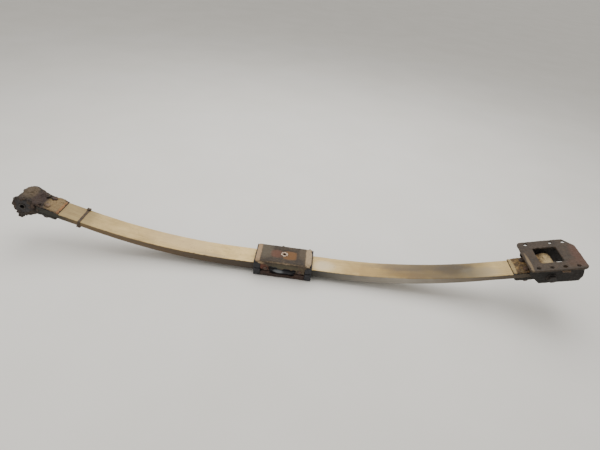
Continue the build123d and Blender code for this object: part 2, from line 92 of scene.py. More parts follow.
def addPatch(tree, place, ragged, colour, patch):  # a patch with a ragged edge: a stain, a rubbed spot, and on the pad rubber a painted highlight
    patch = {**patchDefaults, **patch}
    moved = addNode(tree, "ShaderNodeVectorMath", {0: place, 1: [-c * mm for c in patch["centre"]]},
                    operation="ADD").outputs[0]
    sized = addNode(tree, "ShaderNodeVectorMath", {0: moved, 1: [1 / (s * mm) for s in patch["half"]]},
                    operation="MULTIPLY").outputs[0]
    sides = addNode(tree, "ShaderNodeSeparateXYZ", {0: addNode(
        tree, "ShaderNodeVectorMath", {0: sized}, operation="ABSOLUTE").outputs[0]})
    total = None
    for axis in range(3):
        raised = addNode(tree, "ShaderNodeMath", {0: sides.outputs[axis], 1: patch["square"]},
                         operation="POWER").outputs[0]
        total = raised if total is None else addNode(
            tree, "ShaderNodeMath", {0: total, 1: raised}, operation="ADD").outputs[0]
    torn = addNode(tree, "ShaderNodeMath", {0: ragged, 1: patch["ragged"], 2: total},
                   operation="MULTIPLY_ADD").outputs[0]
    mask = addNode(tree, "ShaderNodeMapRange", {
        "Value": torn, "From Min": patch["inner"], "From Max": patch["outer"],
        "To Min": patch["strength"], "To Max": 0.0}).outputs[0]
    return addNode(tree, "ShaderNodeMix", {0: mask, 6: colour, 7: tint(patch["colour"])},
                   data_type="RGBA").outputs[2]


rustDefaults = {
    "flakeWander": 0.012, "seamWander": 0.015,  # how far plates and seams stray from straight, in metres
    "flakeShow": 0.35, "seamShow": 0.35, "dustShow": 0.3, "pitShow": 0.5,
    "flakeBump": 0.6, "layerBump": 0.8, "gritBump": 0.6,
    "patches": [],
}


def makeRust(name, look):
    # Steel rusted right through its paint: dull, layered and dry, with no bright metal left.
    look = {**rustDefaults, **look}
    plateSize = look["scale"] * 1.6 * mm  # a plate of scale is wider than the grain of the layers
    material, tree, shader = newMaterial(name)
    place = addNode(tree, "ShaderNodeTexCoord").outputs["Object"]
    blotch = addNode(tree, "ShaderNodeTexNoise", {
        "Vector": place, "Scale": 1 / (look["blotch"] * mm), "Detail": 6.0, "Roughness": 0.62,
        "Distortion": 0.4})
    colour = addNode(tree, "ShaderNodeValToRGB", {0: blotch.outputs[0]}, stops=look["colours"]).outputs[0]
    scale = addNode(tree, "ShaderNodeTexNoise", {
        "Vector": place, "Scale": 1 / (look["scale"] * mm), "Detail": 5.0, "Roughness": 0.7})
    plates = addNode(tree, "ShaderNodeTexVoronoi", {
        "Vector": addNode(tree, "ShaderNodeMix", {0: look["flakeWander"], 4: place, 5: scale.outputs[1]},
                          data_type="VECTOR").outputs[1],
        "Scale": 1 / plateSize, "Randomness": 1.0})
    plateTone = addNode(tree, "ShaderNodeValToRGB", {0: plates.outputs["Color"]},
                        stops=[(0.25, look["flakeDark"]), (0.75, look["flakeLight"])]).outputs[0]
    colour = addNode(tree, "ShaderNodeMix", {0: look["flakeShow"], 6: colour, 7: plateTone},
                     data_type="RGBA", blend_type="OVERLAY").outputs[2]
    seams = addNode(tree, "ShaderNodeTexVoronoi", {
        "Vector": addNode(tree, "ShaderNodeMix", {0: look["seamWander"], 4: place, 5: scale.outputs[1]},
                          data_type="VECTOR").outputs[1],
        "Scale": 1 / plateSize}, feature="DISTANCE_TO_EDGE").outputs[0]
    seamMask = addNode(tree, "ShaderNodeMapRange", {
        "Value": seams, "From Min": 0.02, "From Max": 0.16, "To Min": look["seamShow"],
        "To Max": 0.0}).outputs[0]
    colour = addNode(tree, "ShaderNodeMix", {0: seamMask, 6: colour, 7: tint(look["pit"])},
                     data_type="RGBA").outputs[2]
    dust = addNode(tree, "ShaderNodeMapRange", {
        "Value": scale.outputs[0], "From Min": 0.55, "From Max": 0.72,
        "To Max": look["dustShow"]}).outputs[0]
    colour = addNode(tree, "ShaderNodeMix", {0: dust, 6: colour, 7: tint(look["dust"])},
                     data_type="RGBA").outputs[2]
    pits = addNode(tree, "ShaderNodeTexNoise", {
        "Vector": place, "Scale": 1 / (look["grain"] * mm), "Detail": 4.0, "Roughness": 0.75})
    pitTone = addNode(tree, "ShaderNodeMapRange", {
        "Value": pits.outputs[0], "From Min": 0.3, "From Max": 0.52, "To Min": look["pitShow"],
        "To Max": 0.0}).outputs[0]
    colour = addNode(tree, "ShaderNodeMix", {0: pitTone, 6: colour, 7: tint(look["pit"])},
                     data_type="RGBA").outputs[2]
    for patch in look["patches"]:
        colour = addPatch(tree, place, scale.outputs[0], colour, patch)
    rough = addNode(tree, "ShaderNodeMapRange", {
        "Value": scale.outputs[0], "From Min": 0.3, "From Max": 0.7, "To Min": look["rough"][0],
        "To Max": look["rough"][1]}).outputs[0]
    edges = addNode(tree, "ShaderNodeMapRange", {"Value": seams, "From Max": 0.14}).outputs[0]
    flakes = addNode(tree, "ShaderNodeBump", {
        "Height": edges, "Distance": look["flakeDepth"] * mm, "Strength": look["flakeBump"]}).outputs[0]
    layers = addNode(tree, "ShaderNodeBump", {
        "Height": scale.outputs[0], "Distance": look["flakeDepth"] * 2 * mm,
        "Strength": look["layerBump"], "Normal": flakes}).outputs[0]
    grit = addNode(tree, "ShaderNodeBump", {
        "Height": pits.outputs[0], "Distance": look["grain"] * 0.5 * mm,
        "Strength": look["gritBump"], "Normal": layers}).outputs[0]
    tree.links.new(colour, shader.inputs["Base Color"])
    tree.links.new(rough, shader.inputs["Roughness"])
    tree.links.new(grit, shader.inputs["Normal"])
    shader.inputs["Metallic"].default_value = 0.0  # oxide isn't a metal
    shader.inputs["IOR"].default_value = 1.6
    return material


rubberDefaults = {
    "grit": 1.2, "crackColour": "#0b0a0a", "crackWander": 0.03, "crackShow": 0.55,
    "patches": [],
}


def makeRubber(name, look):
    # Moulded rubber, aged: near black, chalky where it has dried out, with fine cracks.
    look = {**rubberDefaults, **look}
    material, tree, shader = newMaterial(name)
    place = addNode(tree, "ShaderNodeTexCoord").outputs["Object"]
    bloom = addNode(tree, "ShaderNodeTexNoise", {
        "Vector": place, "Scale": 1 / (look["bloom"] * mm), "Detail": 6.0, "Roughness": 0.65})
    colour = addNode(tree, "ShaderNodeValToRGB", {0: bloom.outputs[0]}, stops=look["colours"]).outputs[0]
    cracks = addNode(tree, "ShaderNodeTexVoronoi", {
        "Vector": addNode(tree, "ShaderNodeMix", {0: look["crackWander"], 4: place, 5: bloom.outputs[1]},
                          data_type="VECTOR").outputs[1],
        "Scale": 1 / (look["crack"] * mm)}, feature="DISTANCE_TO_EDGE").outputs[0]
    dried = addNode(tree, "ShaderNodeMapRange", {  # only where the rubber has dried out
        "Value": bloom.outputs[0], "From Min": 0.45, "From Max": 0.62, "To Max": 0.06}).outputs[0]
    crackMask = addNode(tree, "ShaderNodeMapRange", {
        "Value": cracks, "From Min": 0.0, "From Max": dried, "To Min": look["crackShow"],
        "To Max": 0.0}).outputs[0]
    colour = addNode(tree, "ShaderNodeMix", {0: crackMask, 6: colour, 7: tint(look["crackColour"])},
                     data_type="RGBA").outputs[2]
    for patch in look["patches"]:
        colour = addPatch(tree, place, bloom.outputs[0], colour, patch)
    grit = addNode(tree, "ShaderNodeTexNoise", {
        "Vector": place, "Scale": 1 / (look["grit"] * mm), "Detail": 3.0})
    crackBump = addNode(tree, "ShaderNodeBump", {
        "Height": addNode(tree, "ShaderNodeMapRange", {"Value": cracks, "From Max": 0.05}).outputs[0],
        "Distance": 0.3 * mm, "Strength": 0.35}).outputs[0]
    bump = addNode(tree, "ShaderNodeBump", {
        "Height": grit.outputs[0], "Distance": 0.4 * mm, "Strength": 0.5, "Normal": crackBump}).outputs[0]
    rough = addNode(tree, "ShaderNodeMapRange", {
        "Value": bloom.outputs[0], "From Min": 0.3, "From Max": 0.7, "To Min": 0.62,
        "To Max": 0.9}).outputs[0]
    tree.links.new(colour, shader.inputs["Base Color"])
    tree.links.new(rough, shader.inputs["Roughness"])
    tree.links.new(bump, shader.inputs["Normal"])
    shader.inputs["IOR"].default_value = 1.52
    return material


glassFibreLook = {
    "top": [(0.2, "#8a7242"), (0.4, "#b79a61"), (0.52, "#ccaf76"), (0.68, "#dfc389"), (0.85, "#ecd59f")],
    "bundle": 3.0,       # mm between fibre bundles; drawn twice as coarse as they are, so that they show
    "bundleRun": 140.0,  # mm along which a bundle can be followed
    "cloud": 55.0,       # mm across a cloud of dust
    "bundleShow": 0.42,
    "speckGap": 7.8,     # mm between places where a speck may lie
    "speckRarity": 0.78, "speckColour": "#7c6a50",
    "chip": 9.0,         # mm along a chipped length of the edge
    "edge": (2.7, 3.7),  # mm down the side, between which the pale face gives way to the side's colour
    "grit": 1.6,
    "halfRun": 780.0,    # mm from the middle to either end of the colours along the bar
    "sideShow": 0.7,
    # the side's colour along the bar; its darkening beside the clamp is partly painted shade
    "side": [(0.0, "#24221a"), (0.05, "#2c2a20"), (0.09, "#6a573b"), (0.2, "#62503a"), (0.4, "#43382c"),
             (0.5, "#2b2622"), (0.57, "#33302b"), (0.61, "#625e56"), (0.68, "#8a8377"), (0.75, "#9a9285"),
             (0.84, "#7d7364"), (0.93, "#584d3f"), (1.0, "#3a3328")],
    "tone": [  # half of what the face's colour is multiplied by, from the rear end to the front one
        (0.0, 0.29), (0.105, 0.3), (0.12, 0.46), (0.3, 0.58), (0.42, 0.66), (0.57, 0.6), (0.61, 0.5),
        (0.68, 0.45), (0.72, 0.31), (0.79, 0.21), (0.85, 0.155), (0.875, 0.18), (0.9, 0.31), (0.92, 0.44),
        (1.0, 0.45)],
    "patches": [
        {"centre": (300, -8, 0), "half": (120, 40, 30), "colour": "#a98443",
         "strength": 0.5, "ragged": 1.6},
        {"centre": (400, -24, 0), "half": (70, 16, 30), "colour": "#b48d4c",
         "strength": 0.5, "ragged": 1.7},
        {"centre": (460, -6, 0), "half": (130, 40, 30), "colour": "#8a7150",
         "strength": 0.5, "ragged": 1.8},
        {"centre": (420, 18, 0), "half": (170, 20, 30), "colour": "#7d6f5f",
         "strength": 0.55, "ragged": 1.6},
        {"centre": (540, 6, 0), "half": (60, 24, 30), "colour": "#75664f", "strength": 0.5, "ragged": 1.5},
        {"centre": (610, -12, 0), "half": (60, 26, 30), "colour": "#b7a684",
         "strength": 0.6, "ragged": 1.4},
        {"centre": (130, -10, 0), "half": (45, 30, 30), "colour": "#dccfb4",
         "strength": 0.5, "ragged": 1.8},
        {"centre": (-230, -30, 0), "half": (60, 12, 30), "colour": "#8d7c62",
         "strength": 0.5, "ragged": 1.8},
        {"centre": (-330, 10, 0), "half": (130, 40, 30), "colour": "#cbb085",
         "strength": 0.45, "ragged": 1.8},
    ],
}


def makeGlassFibre(look):
    # Pressed and ground glass-fibre bar: dull beige, streaked along its fibres, dusty, stained by oil.
    material, tree, shader = newMaterial("groundGlassFibre")
    place = addNode(tree, "ShaderNodeAttribute", attribute_name="barPlace").outputs["Vector"]
    parts = addNode(tree, "ShaderNodeSeparateXYZ", {0: place})
    stretched = addNode(tree, "ShaderNodeVectorMath", {
        0: place, 1: (1 / (look["bundleRun"] * mm), 1 / (look["bundle"] * mm), 1 / (look["bundle"] * mm))},
        operation="MULTIPLY").outputs[0]
    bundles = addNode(tree, "ShaderNodeTexNoise", {
        "Vector": stretched, "Scale": 1.0, "Detail": 5.0, "Roughness": 0.6})
    clouds = addNode(tree, "ShaderNodeTexNoise", {
        "Vector": place, "Scale": 1 / (look["cloud"] * mm), "Detail": 8.0, "Roughness": 0.68,
        "Distortion": 0.5})
    mixed = addNode(tree, "ShaderNodeMix", {
        0: look["bundleShow"], 2: clouds.outputs[0], 3: bundles.outputs[0]}, data_type="FLOAT").outputs[0]
    top = addNode(tree, "ShaderNodeValToRGB", {0: mixed}, stops=look["top"]).outputs[0]
    for patch in look["patches"]:
        top = addPatch(tree, place, clouds.outputs[0], top, patch)
    along = addNode(tree, "ShaderNodeMapRange", {
        "Value": parts.outputs[0], "From Min": -look["halfRun"] * mm, "From Max": look["halfRun"] * mm})
    # the face's colour made darker or lighter along the bar, by the tone ramp
    alongTone = addNode(tree, "ShaderNodeValToRGB", {0: along.outputs[0]}, stops=look["tone"]).outputs[0]
    doubled = addNode(tree, "ShaderNodeMath", {0: alongTone, 1: 2.0}, operation="MULTIPLY").outputs[0]
    top = addNode(tree, "ShaderNodeVectorMath", {0: top, 3: doubled}, operation="SCALE").outputs[0]
    specks = addNode(tree, "ShaderNodeTexVoronoi", {"Vector": place, "Scale": 1 / (look["speckGap"] * mm)})
    rare = addNode(tree, "ShaderNodeSeparateColor", {0: specks.outputs["Color"]}).outputs[0]
    picked = addNode(tree, "ShaderNodeMath", {0: rare, 1: look["speckRarity"]},
                     operation="GREATER_THAN").outputs[0]
    dot = addNode(tree, "ShaderNodeMapRange", {
        "Value": specks.outputs["Distance"], "From Min": 0.12, "From Max": 0.24, "To Min": 0.6,
        "To Max": 0.0}).outputs[0]
    speckMask = addNode(tree, "ShaderNodeMath", {0: picked, 1: dot}, operation="MULTIPLY").outputs[0]
    top = addNode(tree, "ShaderNodeMix", {0: speckMask, 6: top, 7: tint(look["speckColour"])},
                  data_type="RGBA").outputs[2]
    # the side's colour along the bar, partly painted shade beside the clamp
    side = addNode(tree, "ShaderNodeValToRGB", {0: along.outputs[0]}, stops=look["side"]).outputs[0]
    sideTone = addNode(tree, "ShaderNodeValToRGB", {0: mixed}, stops=[(0.3, 0.28), (0.7, 0.72)]).outputs[0]
    side = addNode(tree, "ShaderNodeMix", {0: look["sideShow"], 6: side, 7: sideTone}, data_type="RGBA",
                   blend_type="OVERLAY").outputs[2]
    chips = addNode(tree, "ShaderNodeTexNoise", {
        "Vector": place, "Scale": 1 / (look["chip"] * mm), "Detail": 4.0})
    ragged = addNode(tree, "ShaderNodeMath", {0: chips.outputs[0], 1: 0.004, 2: parts.outputs[2]},
                     operation="MULTIPLY_ADD").outputs[0]
    down = addNode(tree, "ShaderNodeMapRange", {
        "Value": ragged, "From Min": look["edge"][0] * mm, "From Max": look["edge"][1] * mm}).outputs[0]
    colour = addNode(tree, "ShaderNodeMix", {0: down, 6: top, 7: side}, data_type="RGBA").outputs[2]
    grit = addNode(tree, "ShaderNodeTexNoise", {
        "Vector": place, "Scale": 1 / (look["grit"] * mm), "Detail": 3.0})
    weave = addNode(tree, "ShaderNodeBump", {
        "Height": bundles.outputs[0], "Distance": 0.5 * mm, "Strength": 0.55}).outputs[0]
    bump = addNode(tree, "ShaderNodeBump", {
        "Height": grit.outputs[0], "Distance": 0.3 * mm, "Strength": 0.5, "Normal": weave}).outputs[0]
    rough = addNode(tree, "ShaderNodeMapRange", {
        "Value": clouds.outputs[0], "From Min": 0.35, "From Max": 0.65, "To Min": 0.62,
        "To Max": 0.85}).outputs[0]
    tree.links.new(colour, shader.inputs["Base Color"])
    tree.links.new(rough, shader.inputs["Roughness"])
    tree.links.new(bump, shader.inputs["Normal"])
    shader.inputs["IOR"].default_value = 1.55
    return material


wornSteelLook = {
    "spot": 4.0, "bare": 0.7,
    "colours": [(0.34, "#6d4c38"), (0.48, "#a08a76"), (0.7, "#c9bbab")],
}


def makeWornSteel(look):
    # Steel tube end that a pin has rubbed, still dull, with rust in its low spots.
    material, tree, shader = newMaterial("rubbedSteel")
    place = addNode(tree, "ShaderNodeTexCoord").outputs["Object"]
    spots = addNode(tree, "ShaderNodeTexNoise", {
        "Vector": place, "Scale": 1 / (look["spot"] * mm), "Detail": 5.0})
    colour = addNode(tree, "ShaderNodeValToRGB", {0: spots.outputs[0]}, stops=look["colours"]).outputs[0]
    metal = addNode(tree, "ShaderNodeMapRange", {
        "Value": spots.outputs[0], "From Min": 0.34, "From Max": 0.44, "To Max": look["bare"]}).outputs[0]
    rough = addNode(tree, "ShaderNodeMapRange", {
        "Value": spots.outputs[0], "From Min": 0.3, "From Max": 0.6, "To Min": 0.8,
        "To Max": 0.42}).outputs[0]
    bump = addNode(tree, "ShaderNodeBump", {
        "Height": spots.outputs[0], "Distance": 0.2 * mm, "Strength": 0.5})
    tree.links.new(colour, shader.inputs["Base Color"])
    tree.links.new(metal, shader.inputs["Metallic"])
    tree.links.new(rough, shader.inputs["Roughness"])
    tree.links.new(bump.outputs[0], shader.inputs["Normal"])
    return material


clampTopRust = makeRust("clampTopRust", {
    "blotch": 38, "scale": 7, "grain": 1.8, "flakeDepth": 0.5, "rough": (0.72, 0.92),
    "colours": [(0.28, "#362a1d"), (0.42, "#473929"), (0.55, "#524333"), (0.7, "#61503a")],
    "flakeDark": "#352d22", "flakeLight": "#766750", "flakeShow": 0.45, "dust": "#85765b", "dustShow": 0.4,
    "pit": "#1e1710",
    "patches": [
        {"centre": (-62, 12, 60), "half": (26, 40, 8), "colour": "#584e3e", "strength": 0.75},
        {"centre": (63, 14, 60), "half": (18, 34, 8), "colour": "#584a37", "strength": 0.7},
        {"centre": (18, -3, 60), "half": (22, 22, 6), "square": 4.0, "colour": "#744d22", "strength": 0.85,
         "ragged": 1.3, "inner": 1.0},
        {"centre": (-24, 0, 60), "half": (21, 21, 6), "square": 3.0, "colour": "#623b28", "strength": 0.75,
         "ragged": 1.7},
        {"centre": (-82, 0, 62), "half": (9, 60, 9), "square": 4.0, "colour": "#9f8362", "strength": 0.92,
         "ragged": 1.7},
        {"centre": (79, 0, 62), "half": (12, 60, 9), "square": 4.0, "colour": "#a8906f", "strength": 0.95,
         "ragged": 2.0},
        {"centre": (0, -46, 58), "half": (90, 6, 4), "colour": "#8d7758", "strength": 0.6, "ragged": 2.4},
        {"centre": (-70, -46, 52), "half": (16, 6, 6), "colour": "#a58b68", "strength": 0.7, "ragged": 2.2},
        {"centre": (26, -46, 38), "half": (24, 8, 8), "colour": "#6a4a33", "strength": 0.5, "ragged": 1.8},
        {"centre": (-64, -46, 30), "half": (20, 8, 18), "colour": "#612c19", "strength": 0.7},
        {"centre": (10, -46, 44), "half": (50, 8, 9), "colour": "#524e39", "strength": 0.6},
        {"centre": (60, -46, 36), "half": (16, 8, 14), "colour": "#554730", "strength": 0.6},
    ]})
clampBottomRust = makeRust("clampBottomRust", {
    "blotch": 30, "scale": 6, "grain": 1.8, "flakeDepth": 0.5, "rough": (0.74, 0.94),
    "colours": [(0.28, "#281b14"), (0.45, "#3c281d"), (0.58, "#492d1f"), (0.74, "#5a3d2a")],
    "flakeDark": "#2d241d", "flakeLight": "#66503f", "dust": "#625140", "pit": "#160f0c"})
fittingRust = makeRust("forgedFittingRust", {
    "blotch": 26, "scale": 7.5, "grain": 1.8, "flakeDepth": 1.0, "rough": (0.75, 0.95),
    "colours": [(0.28, "#2a211d"), (0.42, "#3f322b"), (0.56, "#514338"), (0.72, "#705f4a")],
    "flakeDark": "#2c2420", "flakeLight": "#9d8f78", "flakeShow": 0.6, "dust": "#84755b", "dustShow": 0.45,
    "pit": "#171210", "seamShow": 0.55,
    "patches": [
        {"centre": (-722, 0, 136), "half": (32, 44, 18), "colour": "#957c54",
         "strength": 0.8, "ragged": 1.5},
        {"centre": (-700, -4, 130), "half": (6, 46, 14), "colour": "#9a6a40",
         "strength": 0.75, "ragged": 1.6},
        {"centre": (-765, -8, 150), "half": (16, 40, 22), "colour": "#3f2d26", "strength": 0.6},
        {"centre": (-792, 4, 170), "half": (22, 40, 10), "colour": "#6f5e46", "strength": 0.55},
    ]})
# the lower plates' rust, darker than the eye fittings' rust
lowerPlateRust = makeRust("darkLowerPlateRust", {
    "blotch": 20, "scale": 6, "grain": 1.8, "flakeDepth": 0.6, "rough": (0.7, 0.92),
    "colours": [(0.3, "#171612"), (0.46, "#24221b"), (0.6, "#332d22"), (0.78, "#4c3d2c")],
    "flakeDark": "#1e1b17", "flakeLight": "#5a4d3c", "flakeShow": 0.3, "dust": "#4a4234", "dustShow": 0.25,
    "pit": "#0d0c0a"})
frontFittingRust = makeRust("crustedFittingRust", {
    "blotch": 12, "scale": 5.0, "grain": 1.8, "flakeDepth": 0.8, "rough": (0.75, 0.95),
    "colours": [(0.3, "#48331d"), (0.42, "#674f30"), (0.54, "#897046"), (0.7, "#ae9568")],
    "flakeDark": "#392b1b", "flakeLight": "#b0986d", "flakeShow": 0.5, "dust": "#ab9366", "dustShow": 0.5,
    "pit": "#23180d", "pitShow": 0.65,
    "patches": [
        {"centre": (703, 0, 134), "half": (6, 44, 12), "colour": "#b39b6b", "strength": 0.75},
        {"centre": (801, 0, 172), "half": (26, 40, 16), "colour": "#bea679",
         "strength": 0.75, "ragged": 1.6},
    ]})
hangerRust = makeRust("hangerPlateRust", {
    "blotch": 34, "scale": 8, "grain": 2.0, "flakeDepth": 0.5, "rough": (0.66, 0.9),
    "colours": [(0.28, "#36291d"), (0.45, "#443728"), (0.6, "#4e3e2e"), (0.78, "#5f4c38")],
    "flakeDark": "#362b1f", "flakeLight": "#69573f", "flakeShow": 0.3, "dust": "#6a573f", "dustShow": 0.25,
    "pit": "#221911", "pitShow": 0.4,
    "patches": [
        {"centre": (872, -6, 214), "half": (26, 60, 24), "colour": "#5a392a",
         "strength": 0.65, "ragged": 1.5},
        {"centre": (850, -44, 205), "half": (30, 20, 20), "colour": "#563a29",
         "strength": 0.5, "ragged": 1.6},
        {"centre": (728, -30, 178), "half": (5, 44, 16), "colour": "#806c4f", "strength": 0.8},
    ]})
channelRust = makeRust("hangerChannelRust", {
    "blotch": 28, "scale": 8, "grain": 2.0, "flakeDepth": 0.6, "rough": (0.7, 0.92),
    "colours": [(0.3, "#14110e"), (0.46, "#1e1915"), (0.6, "#291f19"), (0.78, "#392b20")],
    "flakeDark": "#191411", "flakeLight": "#403429", "flakeShow": 0.3, "dust": "#372e24", "dustShow": 0.25,
    "pit": "#0b0907"})
fastenerRust = makeRust("rustedFastener", {
    "blotch": 9, "scale": 3.2, "grain": 1.2, "flakeDepth": 0.35, "rough": (0.6, 0.88),
    "colours": [(0.3, "#33261f"), (0.48, "#4e3a2f"), (0.62, "#6b4c38"), (0.78, "#8d6b50")],
    "flakeDark": "#3a2c25", "flakeLight": "#97816d", "dust": "#8f7962", "pit": "#1d1511",
    "patches": [{"centre": (-730, -20, 134), "half": (16, 14, 16), "colour": "#8d7658", "strength": 0.6}]})
pivotRust = makeRust("rustedPivotBolt", {
    "blotch": 10, "scale": 3.6, "grain": 1.2, "flakeDepth": 0.35, "rough": (0.55, 0.85),
    "colours": [(0.3, "#1f1a17"), (0.48, "#2d2622"), (0.62, "#40352e"), (0.78, "#5a4a3f")],
    "flakeDark": "#26201c", "flakeLight": "#6b5c4f", "dust": "#55493e", "pit": "#120f0d"})
nutRust = makeRust("rustedWeldNut", {
    "blotch": 9, "scale": 3.2, "grain": 1.2, "flakeDepth": 0.35, "rough": (0.6, 0.88),
    "colours": [(0.3, "#5a4736"), (0.48, "#76604a"), (0.62, "#8d745a"), (0.78, "#a58b6d")],
    "flakeDark": "#4c3c2f", "flakeLight": "#ab9478", "dust": "#a18a6e", "pit": "#2c2119"})
bandRust = makeRust("rustedBand", {
    "blotch": 8, "scale": 3, "grain": 1.2, "flakeDepth": 0.3, "rough": (0.6, 0.88),
    "colours": [(0.3, "#3a2d22"), (0.5, "#57452f"), (0.66, "#705a40"), (0.8, "#86704f")],
    "flakeDark": "#382c22", "flakeLight": "#8a755a", "dust": "#8c7756", "pit": "#1c140f"})
sleeveRust = makeRust("rustedTube", {
    "blotch": 10, "scale": 3, "grain": 1.2, "flakeDepth": 0.25, "rough": (0.5, 0.8),
    "colours": [(0.3, "#241f1b"), (0.5, "#352e28"), (0.65, "#4a4038"), (0.8, "#64574b")],
    "flakeDark": "#26211d", "flakeLight": "#74675a", "dust": "#5f5347", "pit": "#15110f"})
padRubber = makeRubber("agedPadRubber", {
    "bloom": 16, "crack": 11,
    "colours": [(0.3, "#171617"), (0.5, "#242428"), (0.66, "#35353a"), (0.85, "#56565c")],
    # pale grey patch where the pad bulges into the notch on the near side: partly dust, partly a painted
    # highlight
    "patches": [{"centre": (-14, -46, 23), "half": (20, 12, 8), "colour": "#7b7f82", "strength": 0.75,
                 "ragged": 1.7}]})
bushRubber = makeRubber("agedBushRubber", {
    "bloom": 9, "crack": 7,
    "colours": [(0.3, "#1a1818"), (0.5, "#2b2829"), (0.66, "#3f3b3a"), (0.85, "#5e5650")]})
glassFibre = makeGlassFibre(glassFibreLook)
wornSteel = makeWornSteel(wornSteelLook)
print("materials made")


leafBar = {  # mm
    "width": 70.0, "thickness": 28.0, "topHeight": 41.0, "flatHalf": 157.0, "archRadius": 1740.0,
    "straightStart": 630.0, "tipRun": 139.0, "taperStart": 97.0, "taperLength": 800.0,
    "edgeRound": 1.6, "stations": 150, "acrossCuts": 11, "sideCuts": 3,
    "chip": 0.7, "chipSize": 14, "chipBand": 2.5, "chipDrop": 0.4, "ripple": 0.25, "rippleSize": 45,
    "bendStart": 100.0, "bendEnd": 600.0,
}


def bendLeaf(run, depth, bar):  # a point of the straight bar, moved onto the arched leaf (mm)
    endSlope = math.asin((bar["straightStart"] - bar["flatHalf"]) / bar["archRadius"])
    if run > bar["straightStart"]:
        slope = endSlope
        past = run - bar["straightStart"]
        x = bar["straightStart"] + past * math.cos(slope)
        rise = bar["archRadius"] * (1 - math.cos(slope)) + past * math.sin(slope)
    else:
        slope = math.asin(max(0.0, run - bar["flatHalf"]) / bar["archRadius"])
        x = run
        rise = bar["archRadius"] * (1 - math.cos(slope))
    return x + depth * math.sin(slope), bar["topHeight"] + rise - depth * math.cos(slope)


def leafThickness(run, bar):
    tapered = max(0.0, min(run, bar["straightStart"]) - bar["taperStart"])
    return bar["thickness"] * math.sqrt(1 - tapered / bar["taperLength"])


def makeLeafHalf(name, side, bar):
    reach = bar["straightStart"] + bar["tipRun"]
    form = bmesh.new()
    bmesh.ops.create_cube(form, size=1.0)
    bmesh.ops.scale(form, vec=(reach, bar["width"], bar["thickness"]), verts=form.verts)
    bmesh.ops.translate(form, vec=(reach / 2, 0, -bar["thickness"] / 2), verts=form.verts)
    rounded = [e for e in form.edges if max(v.co.x for v in e.verts) > 1.0]
    bmesh.ops.bevel(form, geom=rounded, offset=bar["edgeRound"], affect="EDGES", segments=3, profile=0.5,
                    material=-1, clamp_overlap=True)
    for axis, cuts, least in ((1, bar["acrossCuts"], 0.8 * bar["width"]),
                              (2, bar["sideCuts"], 0.7 * bar["thickness"]),
                              (0, bar["stations"], 0.8 * reach)):
        spans = [e for e in form.edges if abs(e.verts[0].co[axis] - e.verts[1].co[axis]) > least]
        bmesh.ops.subdivide_edges(form, edges=spans, cuts=cuts, use_grid_fill=True)
    placeLayer = form.verts.layers.float_vector.new("barPlace")
    half = bar["thickness"] / 2
    for v in form.verts:
        run, across, depth = v.co.x, v.co.y, -v.co.z
        here = Vector((side * run, across, depth))
        v[placeLayer] = here * mm
        thickness = leafThickness(run, bar)
        edge = bar["edgeRound"]
        if depth > bar["thickness"] - edge - 0.01:
            depth -= bar["thickness"] - thickness
        elif depth > edge:
            depth = edge + (depth - edge) * (thickness - 2 * edge) / (bar["thickness"] - 2 * edge)
        alongTone = noise.fractal(here / bar["chipSize"], 0.8, 2.0, 4)
        nearEdge = max(0.0, 1 - (bar["width"] / 2 - abs(across)) / (bar["chipBand"] * edge))
        across -= math.copysign(nearEdge * bar["chip"] * max(0.0, alongTone), across)
        depth += (bar["chipDrop"] * bar["chip"] * nearEdge * max(0.0, alongTone)
                  + bar["ripple"] * noise.noise(here / bar["rippleSize"])) * (1 if depth < half else 0)
        x, z = bendLeaf(run, depth, bar)
        v.co = Vector((side * x, across, z)) * mm
    if side < 0:
        bmesh.ops.reverse_faces(form, faces=form.faces)
    bmesh.ops.recalc_face_normals(form, faces=form.faces)
    mesh = bpy.data.meshes.new(name)
    form.to_mesh(mesh)
    form.free()
    mesh.materials.append(glassFibre)
    mesh.shade_smooth()
    mesh.set_sharp_from_angle(angle=math.radians(40))
    leaf = bpy.data.objects.new(name, mesh)
    bpy.context.scene.collection.objects.link(leaf)
    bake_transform(leaf)
    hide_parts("leaf")


makeLeafHalf("leafFront", 1, leafBar)
makeLeafHalf("leafRear", -1, leafBar)
print("leaf made")


def addBlobs(form, blobs):  # rounded lumps, each a centre and three half sizes in mm
    for centre, size in blobs:
        grown = bmesh.ops.create_icosphere(form, subdivisions=2, radius=1.0)["verts"]
        bmesh.ops.scale(form, vec=[s * mm for s in size], verts=grown)
        bmesh.ops.translate(form, vec=[c * mm for c in centre], verts=grown)


wearDefaults = {
    "layers": 0.45,     # how much of the scale is steps rather than bumps
    "layerCount": 2.5,  # steps in one unit of the scale's height
    "eatenEdge": None,
}


